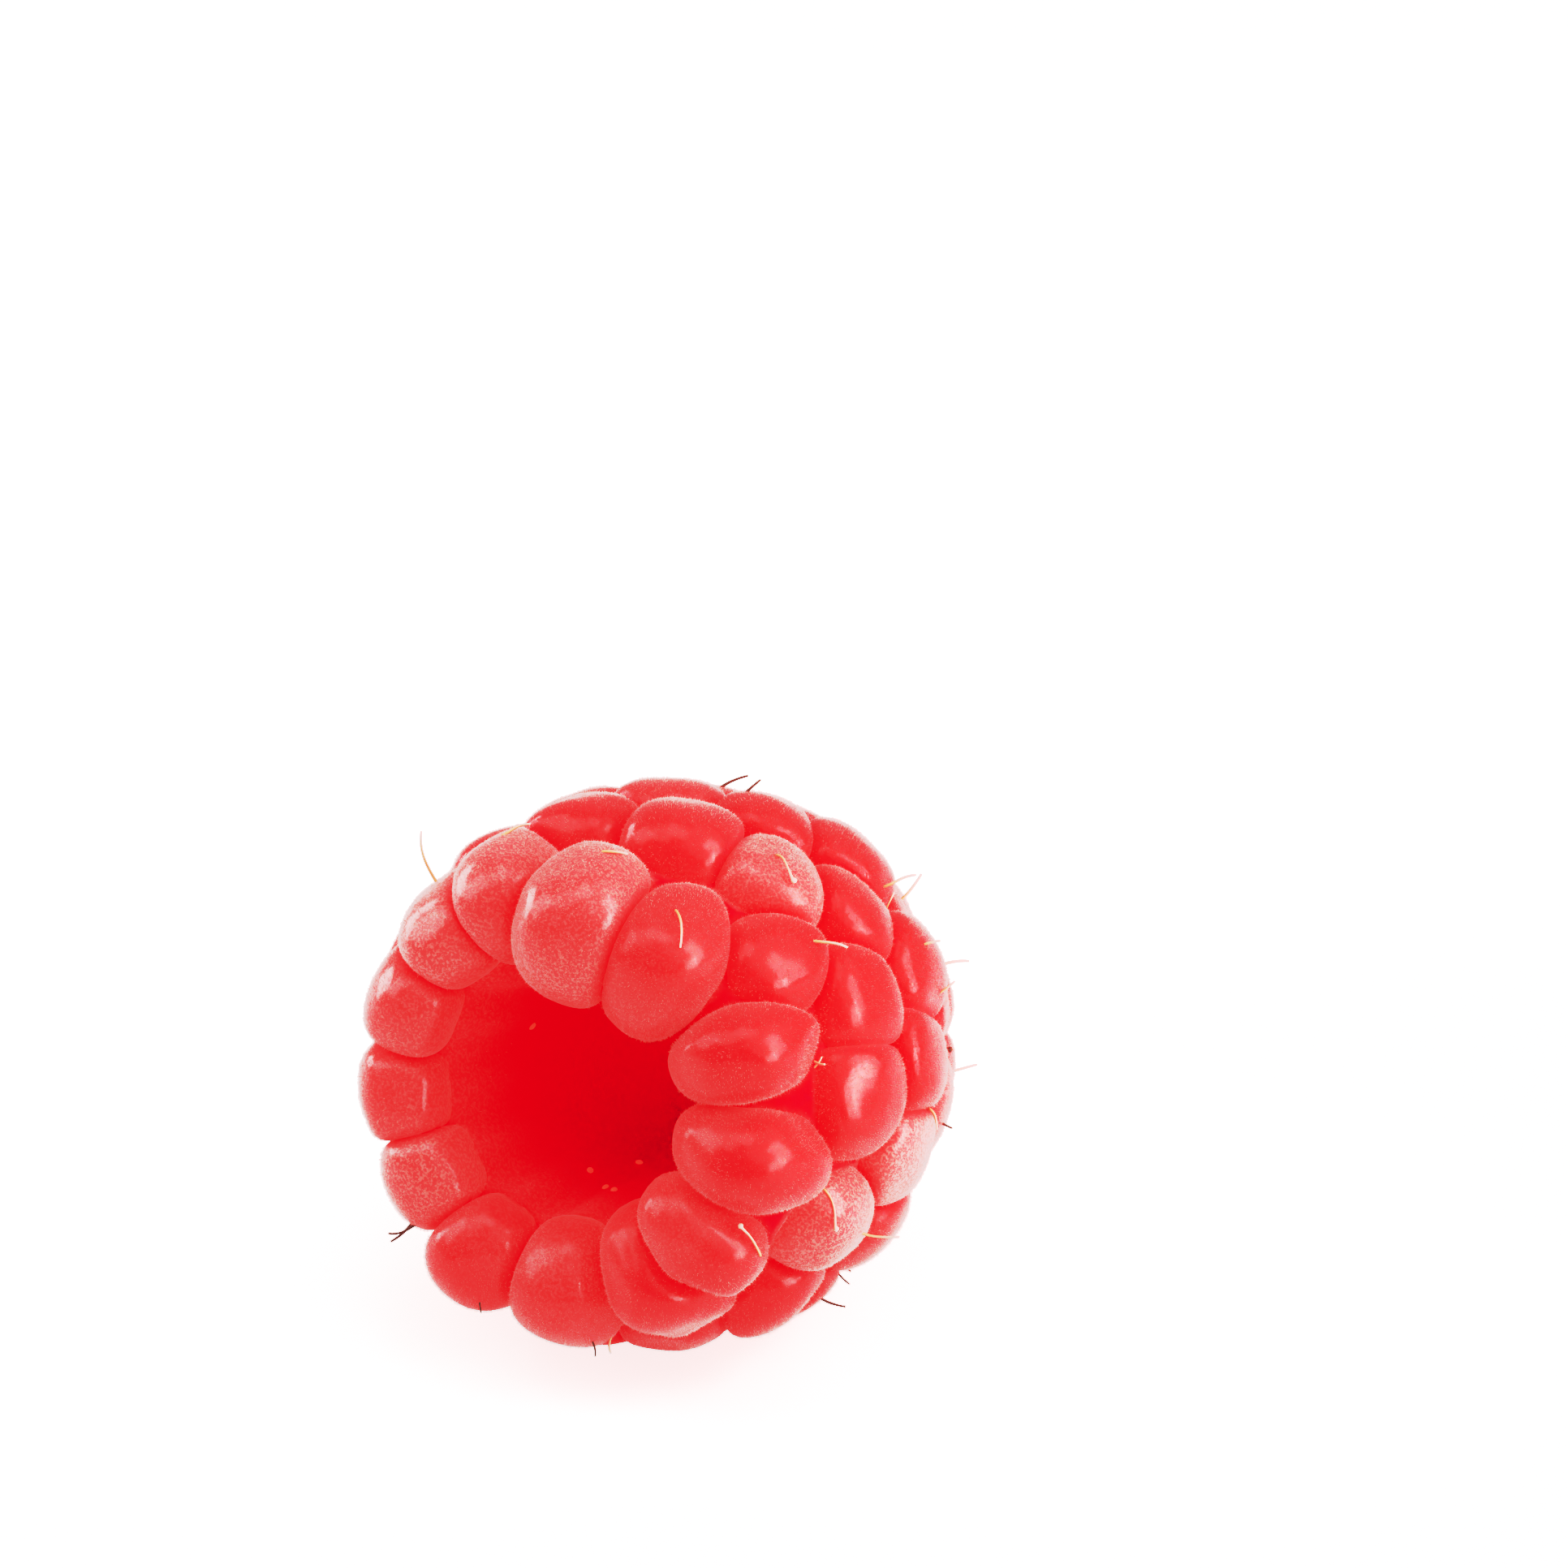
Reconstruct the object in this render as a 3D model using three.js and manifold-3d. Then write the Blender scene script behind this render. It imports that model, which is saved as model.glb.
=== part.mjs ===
// A picked raspberry lying on its side: about eighty drupelets grown together round an open hollow.
// Millimetres, +Z up. The mouth of the hollow looks towards -Y and the tip points towards +Y.
import * as THREE from "three";
import { mergeVertices } from "three/addons/utils/BufferGeometryUtils.js";
import Module from "manifold-3d";

// Driving dimensions. The fruit has its own axis, which runs from the centre of the mouth to the tip.
const tipDroop = 16; // degrees that the axis falls towards the tip as the fruit lies
const mouthCentre = new THREE.Vector3(0.03, -8.12, 11.85); // the axis where the rim's drupelets sit
const colour = "#d81e26";

// A drupelet's half lengths: along the fruit towards the mouth and behind towards the tip, round the
// fruit, outwards, and inwards to its root. Neighbours press on it, so it fills less than these.
const typicalSize = { along: 2.7, behind: 2.8, round: 2.6, out: 2.2, root: 2.8 };
const rimSize = { along: 2.4, behind: 3.8, round: 2.3, out: 2.2, root: 2.8 };
const cornerFullness = 2.3; // 2 would be an ellipsoid, more is squarer
const pressure = 9; // how sharply a drupelet turns flat where it presses on the next one
const meeting = 0.08; // how far two neighbours run past the plane where they meet
const farthestNeighbour = 8.5; // drupelets further apart than this don't touch
const drupeletSides = 11;
const drupeletBands = 5;
const crowding = 0.22; // share by which the bands are drawn up towards the crest, away from the root

// The rim, clockwise from the top as one looks into the mouth from the front: two big drupelets hang
// over the hollow, and the third is squeezed back behind them.
const rimDrupelets = [
  { at: 358, along: 2.5, round: 2.4, out: 2.6, shift: -1.0, rise: -0.9 },
  { at: 27, round: 2.3, out: 2.4, shift: -0.4, rise: -0.9 },
  { at: 46, along: 2.2, round: 2.1, out: 1.9, shift: 2.0, rise: 0.3 },
  { at: 65, behind: 3.4, round: 1.8, out: 2.4, rise: -0.3 },
  { at: 96, behind: 3.4, round: 1.9, out: 2.4, rise: -0.2 },
  { at: 124, along: 1.9, behind: 3.0, round: 1.6, shift: -0.5, lean: 10 },
  { at: 145, round: 1.9, shift: 0.3 },
  { at: 177, round: 2.0, root: 2.4, shift: 0.3 },
  { at: 204, round: 2.1, root: 2.0, shift: 0.1 },
  { at: 231, out: 1.95, root: 1.7, shift: 0.2, rise: -0.3 },
  { at: 258, out: 2.0, root: 1.5, shift: 0.2, rise: -0.3 },
  { at: 286, out: 2.0, root: 1.4, rise: -0.3 },
  { at: 311, out: 2.1, root: 1.5, rise: -0.1 },
  { at: 330, round: 2.0, root: 2.2, rise: 0.1 },
];

// The ring behind the rim, and the one behind that, in the same order.
const shoulderDrupelets = [
  { at: 340, out: 2.1 },
  { at: 7 },
  { at: 28, shift: 0.7 },
  { at: 62, shift: 1.0 },
  { at: 82, shift: 0.5 },
  { at: 115, along: 2.3, round: 2.2, shift: 0.4 },
  { at: 140, shift: 1.2, rise: 0.3 },
  { at: 160 },
  { at: 182, out: 2.1 },
  { at: 207, out: 2.1 },
  { at: 233, out: 2.1 },
  { at: 259, out: 2.1 },
  { at: 285, out: 2.0 },
  { at: 313, out: 2.0 },
];
const bellyDrupelets = [
  { at: 325, out: 2.1, shift: 0.3 },
  { at: 351, out: 2.1, shift: -0.2 },
  { at: 14, shift: 0.1 },
  { at: 31, shift: 1.8 },
  { at: 43, shift: -0.6 },
  { at: 59, shift: 1.4 },
  { at: 79, shift: 0.3 },
  { at: 100 },
  { at: 121, shift: 0.6 },
  { at: 144 },
  { at: 168 },
  { at: 193 },
  { at: 219 },
  { at: 245 },
  { at: 272 },
  { at: 299 },
];

// Where the rings sit: distance from the mouth, radius of the drupelets' centres, and the angle by
// which they lean towards the tip. The rings near the tip are spaced evenly, with a little play.
const rings = [
  { from: 0, radius: 7.1, lean: -20, size: rimSize, drupelets: rimDrupelets },
  { from: 4.2, radius: 8.1, lean: 4, drupelets: shoulderDrupelets },
  { from: 7.9, radius: 8.15, lean: 10, drupelets: bellyDrupelets },
  { from: 11.2, radius: 7.1, lean: 18, count: 13, first: 14 },
  { from: 14.1, radius: 5.8, lean: 28, count: 11, first: 0 },
  { from: 16.3, radius: 4.3, lean: 42, count: 8, first: 10 },
  { from: 17.8, radius: 2.4, lean: 62, count: 5, first: 0 },
  { from: 18.4, radius: 0, lean: 90, count: 1, first: 0 },
];
const play = { angle: 4, shift: 0.35, rise: 0.15, size: 0.06 };
const seed = 71;

// The flesh that the drupelets grow from: its outside stays below their crests, and its inside is
// the hollow. Each pair is a radius and a distance from the mouth.
const hollowOutline = [
  [0, 15.5], [1.0, 15.2], [2.0, 14.2], [3.0, 12.0], [3.9, 8.0], [4.4, 4.0], [4.8, 1.5], [5.2, 0.2],
];
const fleshOutline = [
  [5.9, -0.5], [7.0, -0.4], [8.0, 1.2], [8.7, 4.2], [8.8, 7.9], [7.8, 11.2], [6.4, 14.1], [4.8, 16.5],
  [2.8, 18.4], [0, 19.6],
];
const fleshSides = 30;
const ground = { width: 60, depth: 10 }; // the block below z = 0 that cuts the spots the fruit lies on
const weld = 1e-4; // vertices closer than this are one

const wasm = await Module();
wasm.setup();

// Seeded draws from -1 to 1, the same on every machine: a multiplicative congruential generator.
const drawFactor = 16807;
const drawModulus = 2147483647;
let drawState = seed;
function draw() {
  drawState = (drawState * drawFactor) % drawModulus;
  return (2 * drawState) / drawModulus - 1;
}

// The fruit's own directions as it lies: along its axis, its upper side, and its side towards +X.
const droop = THREE.MathUtils.degToRad(tipDroop);
const axisDirection = new THREE.Vector3(0, Math.cos(droop), -Math.sin(droop));
const upperDirection = new THREE.Vector3(0, Math.sin(droop), Math.cos(droop));
const sideDirection = new THREE.Vector3(1, 0, 0);

// A drupelet is a centre, three directions (tipwards, round, out) and its half lengths.
function placeDrupelet(ring, own) {
  const turn = THREE.MathUtils.degToRad(own.at);
  const lean = THREE.MathUtils.degToRad(own.lean ?? ring.lean);
  const outwards = upperDirection.clone().multiplyScalar(Math.cos(turn));
  outwards.addScaledVector(sideDirection, Math.sin(turn));
  const round = upperDirection.clone().multiplyScalar(-Math.sin(turn));
  round.addScaledVector(sideDirection, Math.cos(turn));
  const out = outwards.clone().multiplyScalar(Math.cos(lean));
  out.addScaledVector(axisDirection, Math.sin(lean));
  const tipwards = outwards.clone().multiplyScalar(-Math.sin(lean));
  tipwards.addScaledVector(axisDirection, Math.cos(lean));
  const centre = mouthCentre.clone();
  centre.addScaledVector(axisDirection, ring.from + (own.shift ?? 0));
  centre.addScaledVector(outwards, ring.radius + (own.rise ?? 0));
  const size = { ...(ring.size ?? typicalSize) };
  for (const key of Object.keys(size)) size[key] = own[key] ?? size[key];
  return { centre, tipwards, round, out, size };
}

// A ring given only by a count: even spacing, each place and size moved by a seeded draw.
function evenRing(ring) {
  return Array.from({ length: ring.count }, (_, i) => {
    const scale = 1 + play.size * draw();
    return {
      at: ring.first + (360 * i) / ring.count + play.angle * draw(),
      shift: play.shift * draw(),
      rise: play.rise * draw(),
      along: typicalSize.along * scale,
      round: typicalSize.round * scale,
    };
  });
}

// How far a lone drupelet reaches from its centre in a direction.
function loneReach(drupelet, direction) {
  const { size } = drupelet;
  const tipwards = direction.dot(drupelet.tipwards);
  const outwards = direction.dot(drupelet.out);
  const parts = [
    tipwards / (tipwards < 0 ? size.along : size.behind),
    direction.dot(drupelet.round) / size.round,
    outwards / (outwards < 0 ? size.root : size.out),
  ];
  const sum = parts.reduce((total, part) => total + Math.abs(part) ** cornerFullness, 0);
  return sum ** (-1 / cornerFullness);
}

// The planes that a drupelet shares with its neighbours: a direction, and the distance to the plane.
function neighbourPlanes(drupelet, all) {
  const planes = [];
  for (const other of all) {
    const direction = other.centre.clone().sub(drupelet.centre);
    const apart = direction.length();
    if (other === drupelet || apart > farthestNeighbour) continue;
    direction.normalize();
    const mine = loneReach(drupelet, direction);
    const theirs = loneReach(other, direction.clone().negate());
    const distance = (apart + mine - theirs) / 2 + meeting;
    if (mine + theirs > apart) planes.push({ direction, distance });
  }
  return planes;
}

// A closed mesh as a solid: shared vertices are merged, and triangles that have no area are dropped.
function solidFrom(geometry) {
  geometry.deleteAttribute("normal");
  geometry.deleteAttribute("uv");
  const merged = mergeVertices(geometry, weld);
  const corners = [];
  const index = merged.index.array;
  for (let i = 0; i < index.length; i += 3) {
    const [a, b, c] = index.subarray(i, i + 3);
    if (a !== b && b !== c && c !== a) corners.push(a, b, c);
  }
  return new wasm.Manifold(
    new wasm.Mesh({
      numProp: 3,
      vertProperties: merged.attributes.position.array,
      triVerts: new Uint32Array(corners),
    }),
  );
}

// A drupelet's surface: in each direction, a soft minimum of its own reach and the shared planes.
function drupeletSolid(drupelet, all) {
  const planes = neighbourPlanes(drupelet, all);
  const geometry = new THREE.SphereGeometry(1, drupeletSides, drupeletBands);
  const turned = new THREE.Matrix4().makeBasis(drupelet.tipwards, drupelet.out, drupelet.round);
  const position = geometry.attributes.position;
  const direction = new THREE.Vector3();
  const polar = new THREE.Spherical();
  for (let i = 0; i < position.count; i++) {
    polar.setFromVector3(direction.fromBufferAttribute(position, i));
    polar.phi *= 1 - crowding + crowding * (polar.phi / Math.PI) ** 2;
    direction.setFromSpherical(polar).applyMatrix4(turned).normalize();
    let sum = loneReach(drupelet, direction) ** -pressure;
    for (const plane of planes) {
      const facing = direction.dot(plane.direction);
      if (facing > 0) sum += (plane.distance / facing) ** -pressure;
    }
    direction.multiplyScalar(sum ** (-1 / pressure)).add(drupelet.centre);
    position.setXYZ(i, direction.x, direction.y, direction.z);
  }
  return solidFrom(geometry);
}

// The flesh round the hollow, turned about the fruit's axis.
function fleshSolid() {
  const corners = [...hollowOutline, ...fleshOutline];
  const outline = corners.map(([radius, from]) => new THREE.Vector2(radius, from));
  const geometry = new THREE.LatheGeometry(outline, fleshSides);
  geometry.applyMatrix4(new THREE.Matrix4().makeBasis(sideDirection, axisDirection, upperDirection));
  geometry.translate(...mouthCentre);
  return solidFrom(geometry);
}

// The surface that the fruit lies on, as a block to cut the flat spots with.
function groundSolid() {
  const block = new THREE.BoxGeometry(ground.width, ground.width, ground.depth);
  block.translate(0, 0, -ground.depth / 2);
  return solidFrom(block);
}

function raspberrySolid() {
  const drupelets = rings.flatMap((ring) => {
    const own = ring.drupelets ?? evenRing(ring);
    return own.map((one) => placeDrupelet(ring, one));
  });
  let fruit = fleshSolid();
  for (const drupelet of drupelets) fruit = fruit.add(drupeletSolid(drupelet, drupelets));
  const cut = fruit.subtract(groundSolid());
  return cut.decompose().reduce((best, piece) => (piece.volume() > best.volume() ? piece : best));
}

function meshFrom(solid, name, material) {
  const { numProp, numVert, vertProperties, triVerts } = solid.getMesh();
  const positions = new Float32Array(numVert * 3);
  for (let i = 0; i < numVert; i++) {
    positions.set(vertProperties.subarray(i * numProp, i * numProp + 3), i * 3);
  }
  const geometry = new THREE.BufferGeometry();
  geometry.setAttribute("position", new THREE.BufferAttribute(positions, 3));
  geometry.setIndex(new THREE.BufferAttribute(triVerts, 1));
  const mesh = new THREE.Mesh(geometry, material);
  mesh.name = name;
  return mesh;
}

const flesh = new THREE.MeshStandardMaterial({ color: colour, roughness: 0.45, metalness: 0 });
const raspberry = new THREE.Group();
raspberry.add(meshFrom(raspberrySolid(), "raspberry", flesh));

export default raspberry;
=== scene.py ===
import bpy
import numpy as np
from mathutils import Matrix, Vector
from mathutils.bvhtree import BVHTree


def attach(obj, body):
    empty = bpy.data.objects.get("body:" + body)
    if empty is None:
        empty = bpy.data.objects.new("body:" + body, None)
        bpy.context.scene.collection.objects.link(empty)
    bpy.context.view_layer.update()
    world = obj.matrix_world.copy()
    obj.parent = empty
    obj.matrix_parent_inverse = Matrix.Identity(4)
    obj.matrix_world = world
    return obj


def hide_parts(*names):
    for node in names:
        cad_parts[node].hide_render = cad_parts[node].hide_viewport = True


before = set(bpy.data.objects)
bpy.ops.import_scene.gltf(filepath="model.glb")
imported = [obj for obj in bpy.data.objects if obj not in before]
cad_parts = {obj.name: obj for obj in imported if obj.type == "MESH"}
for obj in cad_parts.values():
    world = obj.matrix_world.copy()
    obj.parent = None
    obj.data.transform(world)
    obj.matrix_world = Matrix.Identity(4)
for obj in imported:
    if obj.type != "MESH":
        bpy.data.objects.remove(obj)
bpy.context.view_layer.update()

mm = 0.001


def unit(vectors):
    return vectors / np.linalg.norm(vectors, axis=-1, keepdims=True)


def meshObject(name, vertices, faces, material=None, smooth=True):
    mesh = bpy.data.meshes.new(name)
    mesh.from_pydata(vertices, [], faces)
    mesh.update()
    mesh.polygons.foreach_set("use_smooth", np.full(len(mesh.polygons), smooth))
    if material:
        mesh.materials.append(material)
    piece = bpy.data.objects.new(name, mesh)
    bpy.context.scene.collection.objects.link(piece)
    return piece


def vertexArray(mesh, prop="co"):
    values = np.empty(len(mesh.vertices) * 3, np.float32)
    mesh.vertices.foreach_get(prop, values)
    return values.reshape(-1, 3).astype(float)


def faceCorners(mesh):
    # the faces' corners as vertex numbers in one row, and where each face's begin
    corners = np.empty(len(mesh.loops), np.int32)
    mesh.loops.foreach_get("vertex_index", corners)
    starts = np.empty(len(mesh.polygons), np.int32)
    mesh.polygons.foreach_get("loop_start", starts)
    return corners, starts


def edgeEnds(mesh):
    ends = np.empty(len(mesh.edges) * 2, np.int32)
    mesh.edges.foreach_get("vertices", ends)
    return ends.reshape(-1, 2)


def setAttribute(mesh, name, values):
    attribute = mesh.attributes.new(name, "FLOAT", "POINT")
    attribute.data.foreach_set("value", np.asarray(values, np.float32))


# lengths in millimetres and angles in degrees, here and below

camera = {
    "aim": (0.03, -8.12, 11.85),  # the middle of the mouth
    "azimuth": 27.0,  # 0 looks along +Y
    "elevation": 27.0,
    "distance": 254.0,
    "besideAim": 7.312,  # how far the view's middle is to the right of the aim, and above it
    "aboveAim": 10.983,
    "lens": 163.8,
    "sensor": 36.0,
}


def addCamera():
    # returns the way from the aim to the camera
    a, e = np.radians([camera["azimuth"], camera["elevation"]])
    right = np.array([np.cos(a), np.sin(a), 0])
    up = np.array([-np.sin(a) * np.sin(e), np.cos(a) * np.sin(e), np.cos(e)])
    back = np.cross(right, up)
    place = np.array(camera["aim"]) + right * camera["besideAim"] + up * camera["aboveAim"]
    place = (place + back * camera["distance"]) * mm
    data = bpy.data.cameras.new("camera")
    data.lens = camera["lens"]
    data.sensor_width = camera["sensor"]
    data.clip_start = 0.01
    data.clip_end = 10.0
    made = bpy.data.objects.new("camera", data)
    made.location = place
    made.rotation_euler = Vector(back).to_track_quat("Z", "Y").to_euler()
    bpy.context.scene.collection.objects.link(made)
    bpy.context.scene.camera = made
    return back


cameraBack = addCamera()
print("camera placed")


# "at" is the angle round the fruit from its upper side, "from" the distance from the mouth along the axis.
# "shift" moves a drupelet towards the tip, "rise" away from the axis, and "lean" turns its crest to the tip.

fruit = {
    "tipDroop": 16.0,
    "mouthCentre": (0.03, -8.12, 11.85),
    "typicalSize": {"along": 2.7, "behind": 2.8, "round": 2.6, "out": 2.2, "root": 2.8},
    "rimSize": {"along": 2.4, "behind": 3.8, "round": 2.3, "out": 2.2, "root": 2.8},
    "cornerFullness": 2.3,
    "pressure": 9,
    "meeting": 0.08,
    "farthestNeighbour": 8.5,
    "crowding": 0.22,
    "play": {"angle": 4, "shift": 0.35, "rise": 0.15, "size": 0.06},
    "seed": 71,
    "swellingSeed": 5,
    "sides": 56,
    "bands": 28,
    "waves": 7,  # slow swellings of each drupelet, with heights as a share of its reach
    "waveNumber": 2.6,
    "waveHeight": 0.010,
    "facetsEach": 2,  # places where a drupelet was pressed flat in growing
    "facetSpread": (1.0, 0.6, 1.0),
    "facetLift": 0.9,  # they lie round the crest rather than at the root
    "facetDepth": (0.02, 0.075),
    "facetSharpness": 30,
    "rings": [
        {"from": 0, "radius": 7.1, "lean": -20, "size": "rimSize", "drupelets": [
            {"at": 358, "along": 2.5, "round": 2.4, "out": 2.6, "shift": -1.0, "rise": -0.9},
            {"at": 27, "round": 2.3, "out": 2.4, "shift": -0.4, "rise": -0.9},
            {"at": 46, "along": 2.2, "round": 2.1, "out": 1.9, "shift": 2.0, "rise": 0.3},
            {"at": 65, "behind": 3.4, "round": 1.8, "out": 2.4, "rise": -0.3},
            {"at": 96, "behind": 3.4, "round": 1.9, "out": 2.4, "rise": -0.2},
            {"at": 124, "along": 1.9, "behind": 3.0, "round": 1.6, "shift": -0.5, "lean": 10},
            {"at": 145, "round": 1.9, "shift": 0.3},
            {"at": 177, "round": 2.0, "root": 2.4, "shift": 0.3},
            {"at": 204, "round": 2.1, "root": 2.0, "shift": 0.1},
            {"at": 231, "out": 1.95, "root": 1.7, "shift": 0.2, "rise": -0.3},
            {"at": 258, "out": 2.0, "root": 1.5, "shift": 0.2, "rise": -0.3},
            {"at": 286, "out": 2.0, "root": 1.4, "rise": -0.3},
            {"at": 311, "out": 2.1, "root": 1.5, "rise": -0.1},
            {"at": 330, "round": 2.0, "root": 2.2, "rise": 0.1},
        ]},
        {"from": 4.2, "radius": 8.1, "lean": 4, "drupelets": [
            {"at": 340, "out": 2.1},
            {"at": 7},
            {"at": 28, "shift": 0.7},
            {"at": 62, "shift": 1.0},
            {"at": 82, "shift": 0.5},
            {"at": 115, "along": 2.3, "round": 2.2, "shift": 0.4},
            {"at": 140, "shift": 1.2, "rise": 0.3},
            {"at": 160},
            {"at": 182, "out": 2.1},
            {"at": 207, "out": 2.1},
            {"at": 233, "out": 2.1},
            {"at": 259, "out": 2.1},
            {"at": 285, "out": 2.0},
            {"at": 313, "out": 2.0},
        ]},
        {"from": 7.9, "radius": 8.15, "lean": 10, "drupelets": [
            {"at": 325, "out": 2.1, "shift": 0.3},
            {"at": 351, "out": 2.1, "shift": -0.2},
            {"at": 14, "shift": 0.1},
            {"at": 31, "shift": 1.8},
            {"at": 43, "shift": -0.6},
            {"at": 59, "shift": 1.4},
            {"at": 79, "shift": 0.3},
            {"at": 100},
            {"at": 121, "shift": 0.6},
            {"at": 144},
            {"at": 168},
            {"at": 193},
            {"at": 219},
            {"at": 245},
            {"at": 272},
            {"at": 299},
        ]},
        {"from": 11.2, "radius": 7.1, "lean": 18, "count": 13, "first": 14},
        {"from": 14.1, "radius": 5.8, "lean": 28, "count": 11, "first": 0},
        {"from": 16.3, "radius": 4.3, "lean": 42, "count": 8, "first": 10},
        {"from": 17.8, "radius": 2.4, "lean": 62, "count": 5, "first": 0},
        {"from": 18.4, "radius": 0, "lean": 90, "count": 1, "first": 0},
    ],
}

flesh = {  # the wall that the drupelets grow from, as radius and distance from the mouth
    "hollow": [(0, 15.5), (1.0, 15.2), (2.0, 14.2), (3.0, 12.0), (3.9, 8.0), (4.4, 4.0), (4.8, 1.5),
               (5.2, 0.2)],
    "outside": [(5.9, -0.5), (7.0, -0.4), (8.0, 1.2), (8.7, 4.2), (8.8, 7.9), (7.8, 11.2), (6.4, 14.1),
                (4.8, 16.5), (2.8, 18.4), (0, 19.6)],
    "sides": 240,
    "stepsEach": 10,
    "ribHeight": 0.22,  # the rim drupelets' roots run on into the hollow as low ribs
    "ribHalfTurn": 0.21,  # from a rib's crest to its foot, in radians
    "ribFade": 9.0,
}

droop = np.radians(fruit["tipDroop"])
axisWay = np.array([0, np.cos(droop), -np.sin(droop)])
upperWay = np.array([0, np.sin(droop), np.cos(droop)])
sideWay = np.array([1.0, 0, 0])
mouth = np.array(fruit["mouthCentre"])


def seededDraws(seed):
    # the same congruential draws from -1 to 1 as the solid's
    modulus = 2147483647
    state = seed
    while True:
        state = state * 16807 % modulus
        yield 2 * state / modulus - 1


def placeDrupelets():
    # each drupelet's centre, its own directions (tipwards, out, round) and its half lengths
    draws = seededDraws(fruit["seed"])
    play, typical = fruit["play"], fruit["typicalSize"]
    placed = []
    for ring in fruit["rings"]:
        own = ring.get("drupelets")
        if own is None:
            own = []
            for i in range(ring["count"]):
                scale = 1 + play["size"] * next(draws)
                own.append({
                    "at": ring["first"] + 360 * i / ring["count"] + play["angle"] * next(draws),
                    "shift": play["shift"] * next(draws),
                    "rise": play["rise"] * next(draws),
                    "along": typical["along"] * scale,
                    "round": typical["round"] * scale,
                })
        for one in own:
            turn, lean = np.radians([one["at"], one.get("lean", ring["lean"])])
            outwards = upperWay * np.cos(turn) + sideWay * np.sin(turn)
            placed.append({
                "centre": mouth + axisWay * (ring["from"] + one.get("shift", 0))
                + outwards * (ring["radius"] + one.get("rise", 0)),
                "ways": np.array([
                    -outwards * np.sin(lean) + axisWay * np.cos(lean),
                    outwards * np.cos(lean) + axisWay * np.sin(lean),
                    -upperWay * np.sin(turn) + sideWay * np.cos(turn),
                ]),
                "size": {**fruit[ring.get("size", "typicalSize")], **{
                    key: one[key] for key in ("along", "behind", "round", "out", "root") if key in one}},
            })
    return placed


def loneReach(drupelet, directions):
    # a superellipsoid with a different half length on each side: the sum of |way / half length| ** power is 1
    size, power = drupelet["size"], fruit["cornerFullness"]
    tipwards, out, around = (directions @ drupelet["ways"].T).T
    total = np.abs(tipwards / np.where(tipwards < 0, size["along"], size["behind"])) ** power
    total += np.abs(out / np.where(out < 0, size["root"], size["out"])) ** power
    total += np.abs(around / size["round"]) ** power
    return total ** (-1 / power)


def addNeighbours(drupelets):
    # where two drupelets press on each other they share a plane
    for drupelet in drupelets:
        directions, distances = [], []
        for other in drupelets:
            way = other["centre"] - drupelet["centre"]
            apart = np.linalg.norm(way)
            if other is drupelet or apart > fruit["farthestNeighbour"]:
                continue
            way = way / apart
            mine = loneReach(drupelet, way[None])[0]
            theirs = loneReach(other, -way[None])[0]
            if mine + theirs > apart:
                directions.append(way)
                distances.append((apart + mine - theirs) / 2 + fruit["meeting"])
        drupelet["planes"] = np.array(directions), np.array(distances)


def addSwellings(drupelets, random):
    # sine waves over each drupelet's directions, and planes that cut a little off its crest
    waves, facets = fruit["waves"], fruit["facetsEach"]
    for drupelet in drupelets:
        numbers = random.normal(0, fruit["waveNumber"], (waves, 3))
        drupelet["waves"] = numbers, random.uniform(0, 6.28, waves)
        across = unit(random.normal(0, 1, (facets, 3)) * fruit["facetSpread"] + (0, fruit["facetLift"], 0))
        facing = across @ drupelet["ways"]
        depth = random.uniform(*fruit["facetDepth"], facets)
        drupelet["facets"] = facing, loneReach(drupelet, facing) * (1 - depth)


def softLeast(reach, planes, directions, sharpness):
    # the reach, softly held back by each plane that the direction faces: a power mean of high negative power
    facing, distances = planes
    cosines = np.maximum(directions @ facing.T, 1e-6)
    total = reach ** -sharpness + ((distances / cosines) ** -sharpness).sum(axis=1)
    return total ** (-1 / sharpness)


def reachOf(drupelet, directions):
    # how far the skin is from the drupelet's centre: alone, flattened, swollen, then pressed by neighbours
    numbers, phases = drupelet["waves"]
    reach = softLeast(loneReach(drupelet, directions), drupelet["facets"], directions,
                      fruit["facetSharpness"])
    reach *= 1 + fruit["waveHeight"] * np.sin(directions @ numbers.T + phases).sum(axis=1)
    return softLeast(reach, drupelet["planes"], directions, fruit["pressure"])


def gridFaces(rows, columns):
    # a grid closed round its columns, with one vertex at each end
    at = 1 + np.arange(rows)[:, None] * columns + np.arange(columns)
    after = np.roll(at, -1, axis=1)
    sides = np.stack([at[:-1], after[:-1], after[1:], at[1:]], axis=-1).reshape(-1, 4)
    last = rows * columns + 1
    first = np.stack([np.zeros(columns, int), after[0], at[0]], axis=-1)
    end = np.stack([np.full(columns, last), at[-1], after[-1]], axis=-1)
    return first.tolist() + sides.tolist() + end.tolist()


def drupeletMesh(drupelet):
    # directions on a sphere, crowded towards the crest, each carried out to the drupelet's reach
    bands, sides, crowding = fruit["bands"], fruit["sides"], fruit["crowding"]
    polar = np.linspace(0, np.pi, bands + 1)[1:-1, None]
    polar = polar * (1 - crowding + crowding * (polar / np.pi) ** 2)
    around = np.linspace(0, 2 * np.pi, sides, endpoint=False)
    ring = np.stack([np.sin(polar) * np.cos(around), np.cos(polar) + 0 * around,
                     np.sin(polar) * np.sin(around)], axis=-1).reshape(-1, 3)
    directions = np.vstack([[0, 1, 0], ring, [0, -1, 0]]) @ drupelet["ways"]
    return drupelet["centre"] + directions * reachOf(drupelet, directions)[:, None]


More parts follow.
